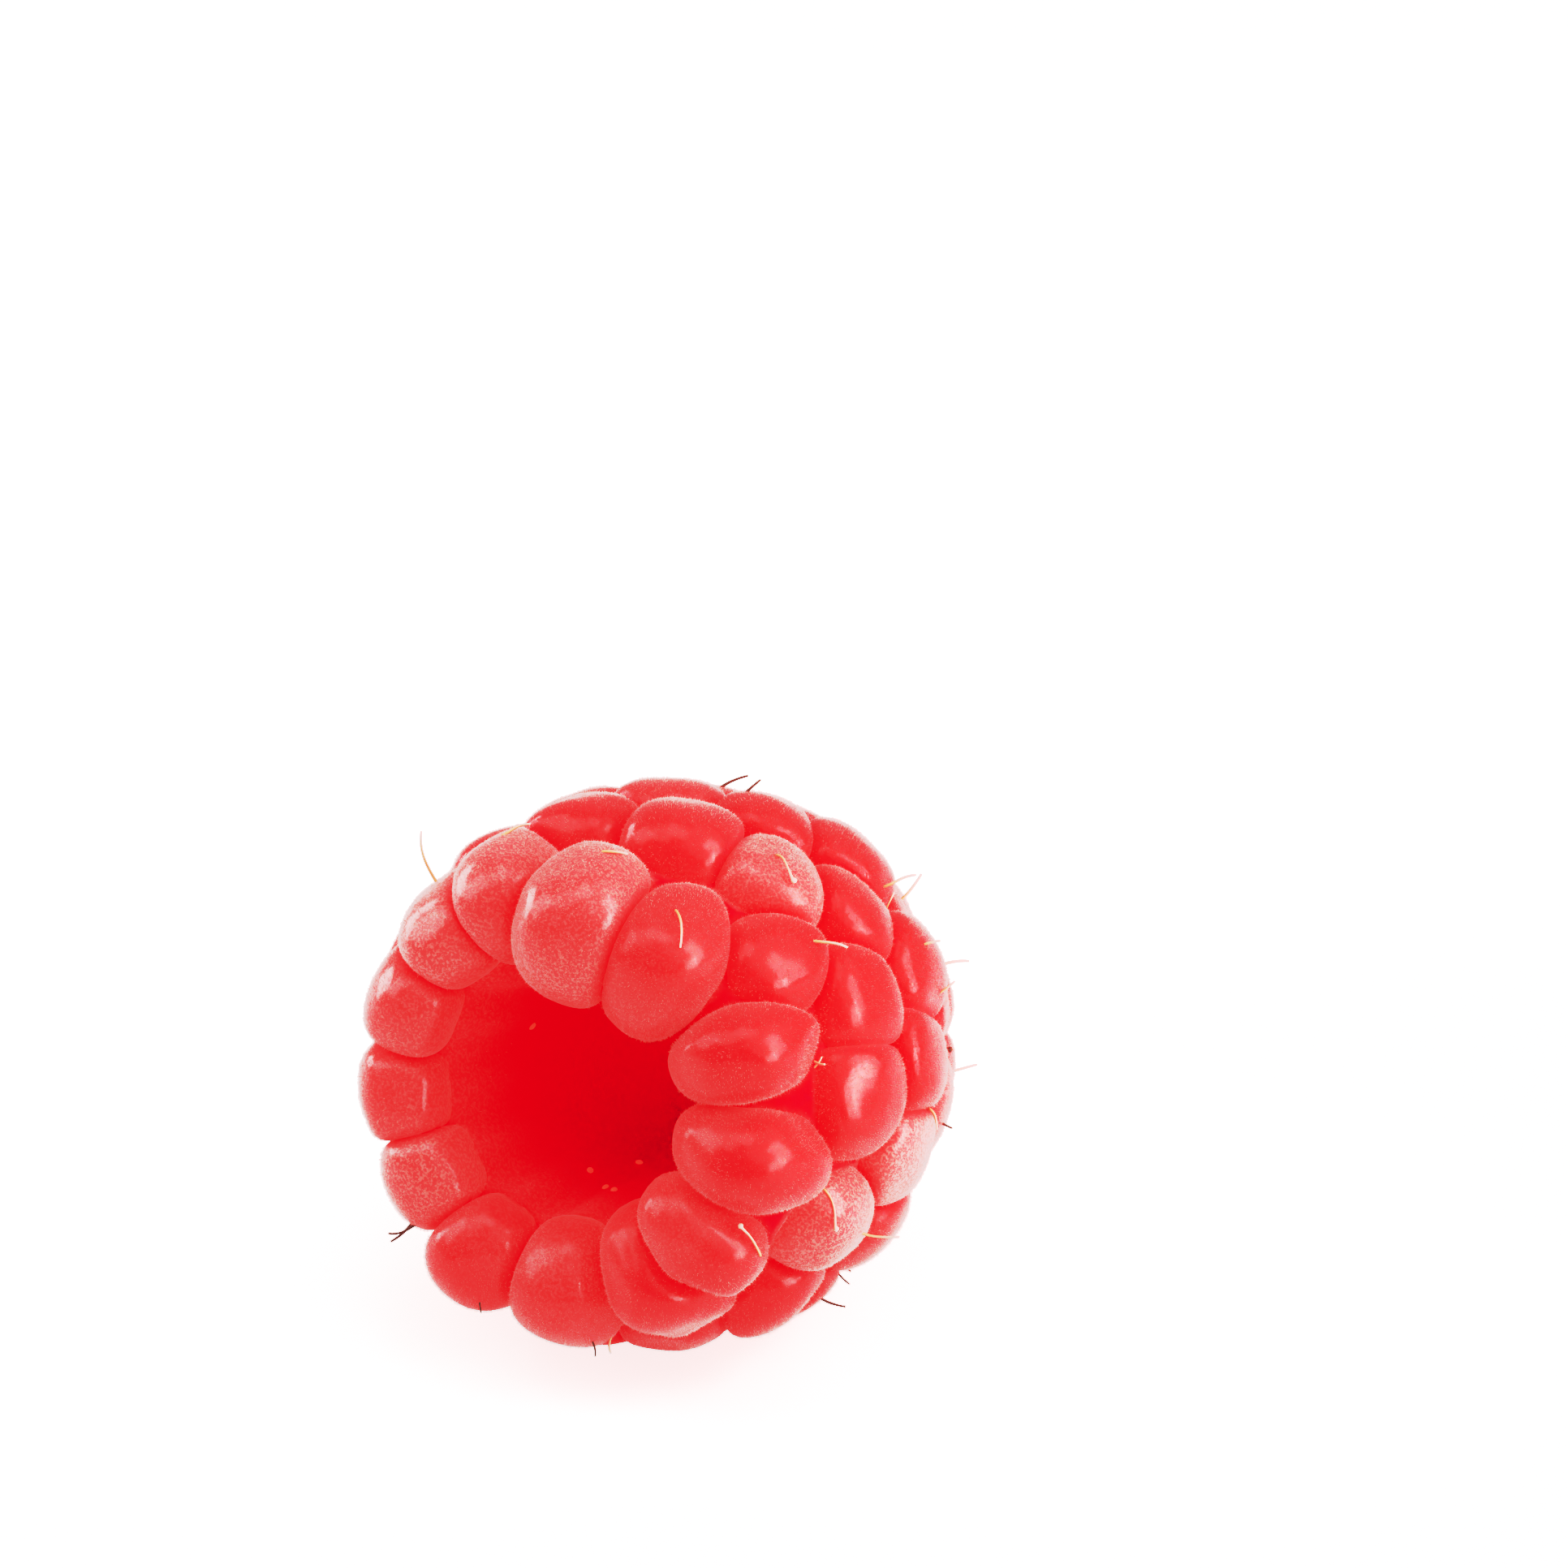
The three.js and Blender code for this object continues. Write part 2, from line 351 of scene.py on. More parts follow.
def roundedLine(points, steps):
    # a Catmull-Rom curve through the points
    points = np.array(points, float)
    padded = np.vstack([2 * points[0] - points[1], points, 2 * points[-1] - points[-2]])
    t = np.linspace(0, 1, steps, endpoint=False)[:, None]
    spans = []
    for a, b, c, d in zip(padded, padded[1:], padded[2:], padded[3:]):
        spans.append(0.5 * (2 * b + (c - a) * t + (2 * a - 5 * b + 4 * c - d) * t ** 2
                            + (3 * b - a - 3 * c + d) * t ** 3))
    return np.vstack(spans + [points[-1:]])


def fleshMesh():
    # the outline turned about the fruit's axis; inside, ribs stand inwards from the rim drupelets' roots
    hollow = roundedLine(flesh["hollow"], flesh["stepsEach"])
    outside = roundedLine(flesh["outside"], flesh["stepsEach"])
    outline = np.vstack([hollow, outside])[1:-1]
    inside = np.arange(len(outline)) < len(hollow) - 1
    turn = np.linspace(0, 2 * np.pi, flesh["sides"], endpoint=False)
    radius, along = outline.T
    rimAt = np.radians([one["at"] for one in fruit["rings"][0]["drupelets"]])
    gap = np.abs((turn[:, None] - rimAt + np.pi) % (2 * np.pi) - np.pi).min(axis=1)
    crest = np.cos(np.clip(gap / flesh["ribHalfTurn"], 0, 1) * np.pi)
    fade = np.where(inside, np.clip(1 - along / flesh["ribFade"], 0, 1), 0)
    radius = radius[:, None] - flesh["ribHeight"] * fade[:, None] * crest
    outwards = upperWay * np.cos(turn)[:, None] + sideWay * np.sin(turn)[:, None]
    rings = mouth + axisWay * along[:, None, None] + outwards * radius[..., None]
    ends = mouth + axisWay * np.array([[flesh["hollow"][0][1]], [flesh["outside"][-1][1]]])
    return np.vstack([ends[:1], rings.reshape(-1, 3), ends[1:]]), len(outline)


def largestBody(mesh):
    # labels spread along the edges until each body has one, then the biggest body's faces are kept
    edges = edgeEnds(mesh)
    labels = np.arange(len(mesh.vertices))
    while True:
        least = labels.copy()
        np.minimum.at(least, edges[:, 0], labels[edges[:, 1]])
        np.minimum.at(least, edges[:, 1], labels[edges[:, 0]])
        least = least[least]
        if (least == labels).all():
            break
        labels = least
    return labels == np.bincount(labels).argmax()


def fuse(name, base, others, cutter):
    # the base joined with the others and cut off at the table
    group = bpy.data.collections.new("fusing")
    bpy.context.scene.collection.children.link(group)
    for piece in others:
        group.objects.link(piece)
        bpy.context.scene.collection.objects.unlink(piece)
    join = base.modifiers.new("join", "BOOLEAN")
    join.operation, join.operand_type, join.collection, join.solver = "UNION", "COLLECTION", group, "MANIFOLD"
    trim = base.modifiers.new("ground", "BOOLEAN")
    trim.operation, trim.object, trim.solver = "DIFFERENCE", cutter, "MANIFOLD"
    seen = base.evaluated_get(bpy.context.evaluated_depsgraph_get())
    mesh = bpy.data.meshes.new_from_object(seen)
    for piece in [base, cutter, *others]:
        old = piece.data
        bpy.data.objects.remove(piece)
        bpy.data.meshes.remove(old)
    bpy.data.collections.remove(group)
    mesh.name = name
    return mesh


ground = {"wide": 60, "deep": 10}  # a block under the table's level, which the fruit is cut with


def groundBlock():
    wide, deep = ground["wide"] * mm, ground["deep"] * mm
    corners = [(x * wide / 2, y * wide / 2, z) for z in (-deep, 0) for y in (-1, 1) for x in (-1, 1)]
    faces = [(0, 2, 3, 1), (4, 5, 7, 6), (0, 1, 5, 4), (1, 3, 7, 5), (3, 2, 6, 7), (2, 0, 4, 6)]
    return meshObject("ground", corners, faces, smooth=False)


drupelets = placeDrupelets()
addNeighbours(drupelets)
addSwellings(drupelets, np.random.default_rng(fruit["swellingSeed"]))
print(len(drupelets), "drupelets placed")


surface = {
    "searchReach": 5.5,  # drupelets further than this from a point are never its own
    "creaseWidth": 0.22,  # how far the deep red of a crease runs up a drupelet, as a share of its reach
    "bareFrom": 1.01,  # distance over reach, past which the skin is the bare flesh between the drupelets
    "bareTo": 1.08,
    "insideFrom": -0.5,  # how far a face looks inwards, towards the axis, before it loses its down
    "insideTo": -0.95,
    "insideVeil": 0.6,  # what is left there of the pale grains
    "paintedSheenFrom": 0.42,  # painted sheen: the pale veil grows from the crests to the flanks, standing in for the sheen at the drupelets' edges: cosines from a drupelet's own outward way
    "paintedSheenTo": -0.17,
    "crestVeil": 0.26,
    "thickDownAndSheen": {0: 2.0, 1: 0.5, 5: 0.3, 7: 1.1, 8: 0.4, 9: 2.5, 10: 1.6, 11: 1.7, 12: 2.9, 13: 2.4, 16: 2.1,
                  19: 2.9, 29: 0.8, 35: 3.4},  # drupelets paler than the others: partly a thicker coat of down, partly painted sheen where the light falls on them
    "thickFrom": 36,  # drupelets from this number on are thicker by chance, up to the most
    "thickMost": 1.5,
    "thickSeed": 4,
    "lobeSeed": 9,
    "funnelFrom": 4.2,  # the flesh just inside the mouth keeps a little down and gloss
    "funnelTo": 0.6,
    "funnelDown": 0.25,
    "funnelVeil": 1.5,
    "funnelGloss": 0.5,
    "creaseAngle": 32.0,
}


def readPoints(mesh, name):
    values = np.empty(len(mesh.vertices), np.float32)
    mesh.attributes[name].data.foreach_get("value", values)
    return values.astype(float)


def smoothStep(low, high, values):
    # 0 up to low, 1 from high on, and 3t^2 - 2t^3 between
    t = np.clip((values - low) / (high - low), 0, 1)
    return t * t * (3 - 2 * t)


def nearestDrupelets(points):
    # distance over reach for the nearest drupelet and for the next: both are 1 in the bottom of a crease
    best = np.full(len(points), 9.0)
    second = best.copy()
    owner = np.full(len(points), -1)
    for i, drupelet in enumerate(drupelets):
        offset = points - drupelet["centre"]
        distance = np.linalg.norm(offset, axis=1)
        near = np.flatnonzero(distance < surface["searchReach"])
        ratio = distance[near] / reachOf(drupelet, offset[near] / distance[near, None])
        closer = ratio < best[near]
        second[near] = np.where(closer, best[near], np.minimum(second[near], ratio))
        owner[near[closer]] = i
        best[near] = np.minimum(best[near], ratio)
    return owner, best, second


def markSkin(mesh):
    # crest is 0 in the creases and 1 on the drupelets, bloom the share of hairs, veil that of pale grains and
    # of painted sheen
    points = vertexArray(mesh) / mm
    normals = vertexArray(mesh, "normal")
    owner, best, second = nearestDrupelets(points)
    depth = (points - mouth) @ axisWay
    radial = unit(points - mouth - depth[:, None] * axisWay)
    inwards = smoothStep(surface["insideFrom"], surface["insideTo"], (normals * radial).sum(axis=1))
    bare = smoothStep(surface["bareFrom"], surface["bareTo"], best)
    setAttribute(mesh, "bare", bare)
    crest = smoothStep(0, surface["creaseWidth"], second - best) * (1 - bare)
    lobes = np.random.default_rng(surface["lobeSeed"]).uniform(0, 1, len(drupelets) + 1)
    centres = np.array([one["centre"] for one in drupelets])
    crests = np.array([one["ways"][1] for one in drupelets])
    outwards = (unit(points - centres[owner]) * crests[owner]).sum(axis=1)
    # painted sheen: the drupelets' flanks are painted paler than their crests
    paintedFlankSheen = smoothStep(surface["paintedSheenFrom"], surface["paintedSheenTo"], outwards)
    thick = np.random.default_rng(surface["thickSeed"]).uniform(0, surface["thickMost"], len(drupelets))
    thick[:surface["thickFrom"]] = 0
    # the listed drupelets are paler: partly thicker down, partly painted sheen where the light falls on them
    thick[list(surface["thickDownAndSheen"])] = list(surface["thickDownAndSheen"].values())
    # the veil: pale grains of down, with painted sheen on the flanks and on the listed drupelets
    veil = surface["crestVeil"] + (1 - surface["crestVeil"]) * paintedFlankSheen + thick[owner]
    funnel = bare * (inwards > 0) * smoothStep(surface["funnelFrom"], surface["funnelTo"], depth)
    setAttribute(mesh, "crest", crest)
    setAttribute(mesh, "bloom", crest * (1 - inwards) + funnel * surface["funnelDown"])
    veil *= crest * (1 - (1 - surface["insideVeil"]) * inwards)
    setAttribute(mesh, "veil", veil + funnel * surface["funnelVeil"])
    setAttribute(mesh, "gloss", crest + funnel * surface["funnelGloss"])
    setAttribute(mesh, "lobe", lobes[owner])
    setAttribute(mesh, "inside", inwards)


def softenInside(mesh):
    # the drupelets' inner ends run smoothly into the wall of the hollow
    inside = readPoints(mesh, "inside")[edgeEnds(mesh)].min(axis=1) > 0
    sharp = mesh.attributes["sharp_edge"]
    marked = np.empty(len(inside), bool)
    sharp.data.foreach_get("value", marked)
    sharp.data.foreach_set("value", marked & ~inside)


def keepVertices(mesh, keep):
    corners, starts = faceCorners(mesh)
    number = np.cumsum(keep) - 1
    faces = np.split(number[corners], starts[1:])
    faces = [face.tolist() for face, wanted in zip(faces, keep[corners[starts]]) if wanted]
    vertices = vertexArray(mesh)[keep]
    mesh.clear_geometry()
    mesh.from_pydata(vertices, [], faces)
    mesh.update()


def newGroup(name, inputs, outputs):
    group = bpy.data.node_groups.new(name, "ShaderNodeTree")
    for label, kind, value in inputs:
        socket = group.interface.new_socket(name=label, in_out="INPUT", socket_type=kind)
        if value is not None:
            socket.default_value = value
    for label, kind in outputs:
        group.interface.new_socket(name=label, in_out="OUTPUT", socket_type=kind)
    return group, group.nodes.new("NodeGroupInput"), group.nodes.new("NodeGroupOutput")


def addNode(tree, kind, **settings):
    node = tree.nodes.new(kind)
    for key, value in settings.items():
        setattr(node, key, value)
    return node


def grainGroup():
    # noise stretched to full contrast: fine pale grains from one threshold up
    group, given, result = newGroup("grain", [
        ("Vector", "NodeSocketVector", None), ("Scale", "NodeSocketFloat", 5.0),
        ("Low", "NodeSocketFloat", 0.4), ("High", "NodeSocketFloat", 0.6),
    ], [("Mask", "NodeSocketFloat")])
    noise = addNode(group, "ShaderNodeTexNoise")
    noise.inputs["Detail"].default_value = 3.0
    spread = addNode(group, "ShaderNodeMapRange")
    join = group.links.new
    join(given.outputs["Vector"], noise.inputs["Vector"])
    join(given.outputs["Scale"], noise.inputs["Scale"])
    join(noise.outputs["Fac"], spread.inputs["Value"])
    join(given.outputs["Low"], spread.inputs["From Min"])
    join(given.outputs["High"], spread.inputs["From Max"])
    join(spread.outputs["Result"], result.inputs["Mask"])
    return group


grain = grainGroup()


def startMaterial(name):
    material = bpy.data.materials.new(name)
    material.use_nodes = True
    tree = material.node_tree
    shader = tree.nodes["Principled BSDF"]
    place = addNode(tree, "ShaderNodeTexCoord")
    toMillimetres = addNode(tree, "ShaderNodeMapping")
    toMillimetres.inputs["Scale"].default_value = (1 / mm, 1 / mm, 1 / mm)
    tree.links.new(place.outputs["Object"], toMillimetres.inputs["Vector"])
    return material, tree, shader, toMillimetres.outputs["Vector"]


def placeGrain(tree, vector, scale, span):
    node = addNode(tree, "ShaderNodeGroup", node_tree=grain)
    node.inputs["Scale"].default_value = scale
    node.inputs["Low"].default_value, node.inputs["High"].default_value = span
    tree.links.new(vector, node.inputs["Vector"])
    return node.outputs["Mask"]


def mixColour(tree, factor, first, second, share=1.0):
    # first where the factor is 0, second where it is 1, by at most the share
    mix = addNode(tree, "ShaderNodeMix", data_type="RGBA")
    if share != 1.0:
        factor = combine(tree, factor, share)
    tree.links.new(factor, mix.inputs["Factor"])
    for value, socket in ((first, mix.inputs["A"]), (second, mix.inputs["B"])):
        if isinstance(value, tuple):
            socket.default_value = (*value, 1)
        else:
            tree.links.new(value, socket)
    return mix.outputs["Result"]


def combine(tree, first, second, operation="MULTIPLY"):
    # each value is a number or a socket
    node = addNode(tree, "ShaderNodeMath", operation=operation)
    for value, socket in ((first, node.inputs[0]), (second, node.inputs[1])):
        if isinstance(value, (int, float)):
            socket.default_value = value
        else:
            tree.links.new(value, socket)
    return node.outputs["Value"]


def readAttribute(tree, name):
    return addNode(tree, "ShaderNodeAttribute", attribute_name=name).outputs["Fac"]


skin = {
    "deepRed": (0.99, 0.001, 0.012),  # in the creases and the hollow
    "ripeRed": (0.88, 0.0015, 0.007),
    "paleRed": (0.93, 0.004, 0.010),
    "veilPink": (0.93, 0.62, 0.58),  # the grains of down that lie flat, and the painted sheen on the drupelets' flanks
    "veilShare": 0.094,
    "mottleScale": 0.55,
    "mottleRange": (0.36, 0.64),
    "roughness": 0.34,
    "bareRoughness": 0.9,  # in the creases and the hollow
    "refraction": 1.45,
    "shine": 0.03,
    "gloss": 0.55,  # the waxy coat on the outside of the drupelets
    "glossBreak": 0.55,  # how much of it the grains take away
    "glossRoughness": 0.15,
    "glowDepth": 13.0,  # how far light wanders through the flesh, in millimetres, for each colour
    "glowColours": (1.0, 0.006, 0.006),
    "sheen": 0.30,
    "sheenRoughness": 0.48,
    "sheenTint": (1.0, 0.80, 0.76),
    "grainScale": 10.0,  # grains to a millimetre
    "grainRange": (0.32, 0.68),
    "speckRange": (0.47, 0.60),  # the same grains, cut off to pale specks
    "speckShare": 0.6,  # how much of the veil is specks: the rest is even
    "dimpleScale": 2.2,
    "dimpleRange": (0.25, 0.75),
    "dimpleShare": 1.5,
    "bumpHeight": 0.01,
}


def skinMaterial(name, downy):
    # red flesh that light wanders through, under pale specks with painted sheen and, where it is downy, a
    # broken wax and a sheen
    material, tree, shader, vector = startMaterial(name)
    crest, veil, gloss, lobe = (readAttribute(tree, mark) for mark in ("crest", "veil", "gloss", "lobe"))
    mottle = placeGrain(tree, vector, skin["mottleScale"], skin["mottleRange"])
    grains = placeGrain(tree, vector, skin["grainScale"], skin["grainRange"])
    specks = placeGrain(tree, vector, skin["grainScale"], skin["speckRange"])
    dimples = placeGrain(tree, vector, skin["dimpleScale"], skin["dimpleRange"])
    body = mixColour(tree, combine(tree, mottle, lobe), skin["ripeRed"], skin["paleRed"])
    body = mixColour(tree, crest, skin["deepRed"], body)
    even = 1 - skin["speckShare"]
    speckled = combine(tree, combine(tree, specks, skin["speckShare"]), even, "ADD")
    body = mixColour(tree, combine(tree, veil, speckled), body, skin["veilPink"], skin["veilShare"])
    tree.links.new(body, shader.inputs["Base Color"])
    relief = combine(tree, combine(tree, dimples, skin["dimpleShare"]), grains, "ADD")
    bump = addNode(tree, "ShaderNodeBump")
    bump.inputs["Distance"].default_value = skin["bumpHeight"] * mm
    bump.inputs["Strength"].default_value = 1.0
    tree.links.new(relief, bump.inputs["Height"])
    tree.links.new(bump.outputs["Normal"], shader.inputs["Normal"])
    shader.inputs["IOR"].default_value = skin["refraction"]
    shader.inputs["Specular IOR Level"].default_value = skin["shine"]
    shader.inputs["Subsurface Weight"].default_value = 1.0
    shader.inputs["Subsurface Radius"].default_value = skin["glowColours"]
    shader.inputs["Subsurface Scale"].default_value = skin["glowDepth"] * mm
    if not downy:
        shader.inputs["Roughness"].default_value = skin["bareRoughness"]
        return material
    smooth = combine(tree, gloss, skin["roughness"] - skin["bareRoughness"])
    tree.links.new(combine(tree, smooth, skin["bareRoughness"], "ADD"), shader.inputs["Roughness"])
    unbroken = combine(tree, combine(tree, specks, -skin["glossBreak"]), 1.0, "ADD")
    coat = combine(tree, combine(tree, gloss, unbroken), skin["gloss"])
    tree.links.new(coat, shader.inputs["Coat Weight"])
    shader.inputs["Coat Roughness"].default_value = skin["glossRoughness"]
    shader.inputs["Sheen Weight"].default_value = skin["sheen"]
    shader.inputs["Sheen Roughness"].default_value = skin["sheenRoughness"]
    shader.inputs["Sheen Tint"].default_value = (*skin["sheenTint"], 1)
    return material


def makeFruit():
    faces = gridFaces(fruit["bands"] - 1, fruit["sides"])
    others = [meshObject(f"drupelet{i}", drupeletMesh(one) * mm, faces) for i, one in enumerate(drupelets)]
    vertices, rows = fleshMesh()
    base = meshObject("flesh", vertices * mm, gridFaces(rows, flesh["sides"]))
    mesh = fuse("raspberry_flesh", base, others, groundBlock())
    keepVertices(mesh, largestBody(mesh))
    mesh.polygons.foreach_set("use_smooth", np.ones(len(mesh.polygons), bool))
    mesh.set_sharp_from_angle(angle=np.radians(surface["creaseAngle"]))
    markSkin(mesh)
    softenInside(mesh)
    mesh.materials.clear()
    mesh.materials.append(skinMaterial("raspberry_skin", True))
    mesh.materials.append(skinMaterial("raspberry_bare", False))
    corners, starts = faceCorners(mesh)
    bare = readPoints(mesh, "bare")[corners] > 0
    mesh.polygons.foreach_set("material_index", np.logical_or.reduceat(bare, starts).astype(np.int32))
    made = bpy.data.objects.new("raspberry_fruit", mesh)
    bpy.context.scene.collection.objects.link(made)
    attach(made, "root")
    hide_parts("raspberry")
    return made


berry = makeFruit()
print("fruit fused:", len(berry.data.polygons), "faces")


def meshTriangles(mesh):
    # corner numbers, normals and areas of a mesh's triangles
    mesh.calc_loop_triangles()
    count = len(mesh.loop_triangles)
    corners = np.empty(count * 3, np.int32)
    mesh.loop_triangles.foreach_get("vertices", corners)
    corners = corners.reshape(-1, 3)
    a, b, c = vertexArray(mesh)[corners].transpose(1, 0, 2) / mm
    normals = np.cross(b - a, c - a)
    areas = np.linalg.norm(normals, axis=1)
    return corners, normals / np.maximum(areas, 1e-12)[:, None], areas / 2


def acrossFrom(directions, random):
    # a random direction at right angles to each one
    return unit(np.cross(directions, random.normal(0, 1, directions.shape)))


# short pale hairs all over the drupelets' outsides, each a thin closed spike with its foot in the skin

down = {
    "seed": 23,
    "patches": 4,  # pieces that the hairs are shared out among
    "hairsEach": 24000,
    "length": (0.04, 0.10),
    "thickness": 0.02,
    "sink": 0.03,
    "lean": 0.15,
    "lowest": 0.25,  # none grows nearer the table than this
    "colour": (0.95, 0.42, 0.38),
    "roughness": 0.6,
}


def downMaterial():
    material, tree, shader, vector = startMaterial("raspberry_down")
    shader.inputs["Base Color"].default_value = (*down["colour"], 1)
    shader.inputs["Roughness"].default_value = down["roughness"]
    return material


def makeDown(mesh):
    # feet are drawn by area and bloom, and each hair leans a little from the skin's normal
    random = np.random.default_rng(down["seed"])
    material, count = downMaterial(), down["hairsEach"]
    corners, normals, areas = meshTriangles(mesh)
    points = vertexArray(mesh) / mm
    high = points[corners, 2].min(axis=1) > down["lowest"]
    weight = areas * readPoints(mesh, "bloom")[corners].mean(axis=1) ** 2 * high
    turn = np.radians([0, 120, 240])[None, :, None]
    faces = np.arange(count)[:, None, None] * 4 + np.array([[0, 1, 3], [1, 2, 3], [2, 0, 3], [2, 1, 0]])
    faces = faces.reshape(-1, 3).tolist()
    for patch in range(down["patches"]):
        picked = random.choice(len(corners), count, p=weight / weight.sum())
        shares = random.dirichlet((1, 1, 1), count)
        foot = (points[corners[picked]] * shares[..., None]).sum(axis=1)
        normal = normals[picked]
        tilt = np.abs(random.normal(0, 1, (count, 1))) * down["lean"]
        way = unit(normal + acrossFrom(normal, random) * tilt)
        length = random.uniform(*down["length"], (count, 1))
        side = acrossFrom(way, random)
        ring = np.cos(turn) * side[:, None] + np.sin(turn) * np.cross(way, side)[:, None]
        ring = (foot - down["sink"] * way)[:, None] + down["thickness"] / 2 * ring
        spikes = np.concatenate([ring, (foot + way * length)[:, None]], axis=1).reshape(-1, 3)
        made = meshObject(f"raspberry_down_{patch + 1}", spikes * mm, faces, material, smooth=False)
        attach(made, "root")


makeDown(berry.data)
print("down grown:", down["patches"] * down["hairsEach"], "hairs")


# "at" and "from" say where a style stands; "reach" is its tip seen from its foot, in millimetres:
# towards the tip of the fruit, round it, and outwards. "dark" ones are dark brown.

styles = {
    "sides": 6,
    "steps": 11,
    "footRadius": 0.058,
    "tipRadius": 0.036,
    "knobRadius": 0.115,
    "sink": 0.25,
    "placed": [
        {"at": 313, "from": 0.3, "reach": (-0.04, 0.60, 1.75)},
        {"at": 334, "from": 0.3, "reach": (0.42, 0.74, 0.10)},
        {"at": 2, "from": -0.6, "reach": (0.27, 0.59, 0.05)},
        {"at": 25, "from": -1.2, "reach": (-1.15, 1.10, -0.36)},
        {"at": 28, "from": 4.0, "reach": (-0.57, 1.04, 0.02), "knob": True},
        {"at": 47, "from": 3.0, "reach": (0.47, 0.71, 0.70)},
        {"at": 72, "from": 2.3, "reach": (-0.04, 0.15, 0.41)},
        {"at": 73, "from": 2.3, "reach": (0.09, -0.26, 0.26)},
        {"at": 41, "from": 9.7, "reach": (0.56, 0.34, 1.00)},
        {"at": 44, "from": 10.1, "reach": (0.13, -0.19, 0.32)},
        {"at": 56, "from": 9.2, "reach": (0.23, 0.06, 0.50)},
        {"at": 66, "from": 9.9, "reach": (0.24, -0.23, 0.50)},
        {"at": 91, "from": 8.7, "reach": (0.0, 0.47, 0.31)},
        {"at": 97, "from": 11.3, "reach": (0.08, 0.07, 0.35), "dark": 1},
        {"at": 112, "from": 4.8, "reach": (0.54, -0.42, 1.10)},
        {"at": 105, "from": 3.0, "reach": (-0.13, 0.87, 0.93), "knob": True},
        {"at": 116, "from": -0.5, "reach": (-0.68, -0.65, -0.80), "knob": True},
        {"at": 134, "from": 8.8, "reach": (0.07, -0.06, 0.55), "dark": 1},
        {"at": 137, "from": 7.7, "reach": (0.29, -0.45, 0.71), "dark": 1},
        {"at": 167, "from": 1.1, "reach": (-0.18, 0.07, 0.62)},
        {"at": 169, "from": -0.1, "reach": (-0.02, -0.18, 0.49), "dark": 1},
        {"at": 222, "from": -1.1, "reach": (-0.46, 0.23, 0.77), "dark": 1},
        {"at": 223, "from": -0.7, "reach": (-0.50, -0.15, 0.80), "dark": 1},
        {"at": 195, "from": -1.5, "reach": (-0.05, -0.23, 0.35), "dark": 1},
        {"at": 354, "from": 11.0, "reach": (0.43, 0.77, 0.45), "dark": 1},
        {"at": 8, "from": 7.9, "reach": (0.24, 0.26, 0.50), "dark": 1},
    ],
    "seed": 31,
    "others": 46,  # the rest, on the sides that the placed ones leave bare
    "crestBand": (0.1, 0.8),  # they grow beside the creases
    "leastBloom": 0.05,
    "apart": 2.3,
    "turnedAway": -0.22,  # the cosine between the camera's way and the skin's, at most
    "lowest": 1.6,
    "length": (0.7, 1.8),
    "leanOut": (0.5, 1.1),
    "leanTipwards": (0.0, 0.9),
    "leanByChance": 0.35,
    "knobShare": 0.45,
    "darkShare": 0.3,
    "bow": (0.08, 0.20),  # as a share of the length
    "wave": 0.03,
    "widthByChance": (0.8, 1.15),
    "knobShape": (0.5, 1.0, 0.85),
    "knobSteps": (-0.09, 0.0, 0.07),
    "straw": (0.95, 0.26, 0.15),
    "cream": (0.98, 0.47, 0.38),
    "brown": (0.10, 0.035, 0.015),
    "roughness": 0.55,
}


def tubes(paths, radii, sides):
    # a ring of the given radius at every point of every path, square to the path, and a point at each end
    count, steps, _ = paths.shape
    along = unit(np.gradient(paths, axis=1))
    mean = unit(paths[:, -1] - paths[:, 0])
    helper = np.eye(3)[np.abs(mean).argmin(axis=1)]
    side = unit(np.cross(along, helper[:, None]))
    other = np.cross(along, side)
    turn = np.linspace(0, 2 * np.pi, sides, endpoint=False)[:, None]
    rings = side[:, :, None] * np.cos(turn) + other[:, :, None] * np.sin(turn)
    rings = paths[:, :, None] + rings * radii[:, :, None, None]
    ends = along[:, [0, -1]] * radii[:, [0, -1], None] * [[[-0.5], [0.5]]]
    ends = paths[:, [0, -1]] + ends
    vertices = np.concatenate([ends[:, :1], rings.reshape(count, -1, 3), ends[:, 1:]], axis=1)
    one = gridFaces(steps, sides)
    step = steps * sides + 2
    faces = [[v + i * step for v in face] for i in range(count) for face in one]
    return vertices.reshape(-1, 3), faces, step


def placedStyles():
    # the placed feet lie where a line from outside first meets the skin
    tree = BVHTree.FromObject(berry, bpy.context.evaluated_depsgraph_get())
    feet, tips, knobs, darks = [], [], [], []
    for one in styles["placed"]:
        turn = np.radians(one["at"])
        outwards = upperWay * np.cos(turn) + sideWay * np.sin(turn)
        around = -upperWay * np.sin(turn) + sideWay * np.cos(turn)
        start = mouth + axisWay * one["from"] + outwards * 20
        found = tree.ray_cast(Vector(start * mm), Vector(-outwards))[0]
        foot = np.array(found) / mm
        feet.append(foot)
        tips.append(foot + np.array(one["reach"]) @ np.array([axisWay, around, outwards]))
        knobs.append(one.get("knob", False))
        darks.append(one.get("dark", 0))
    return feet, tips, knobs, darks


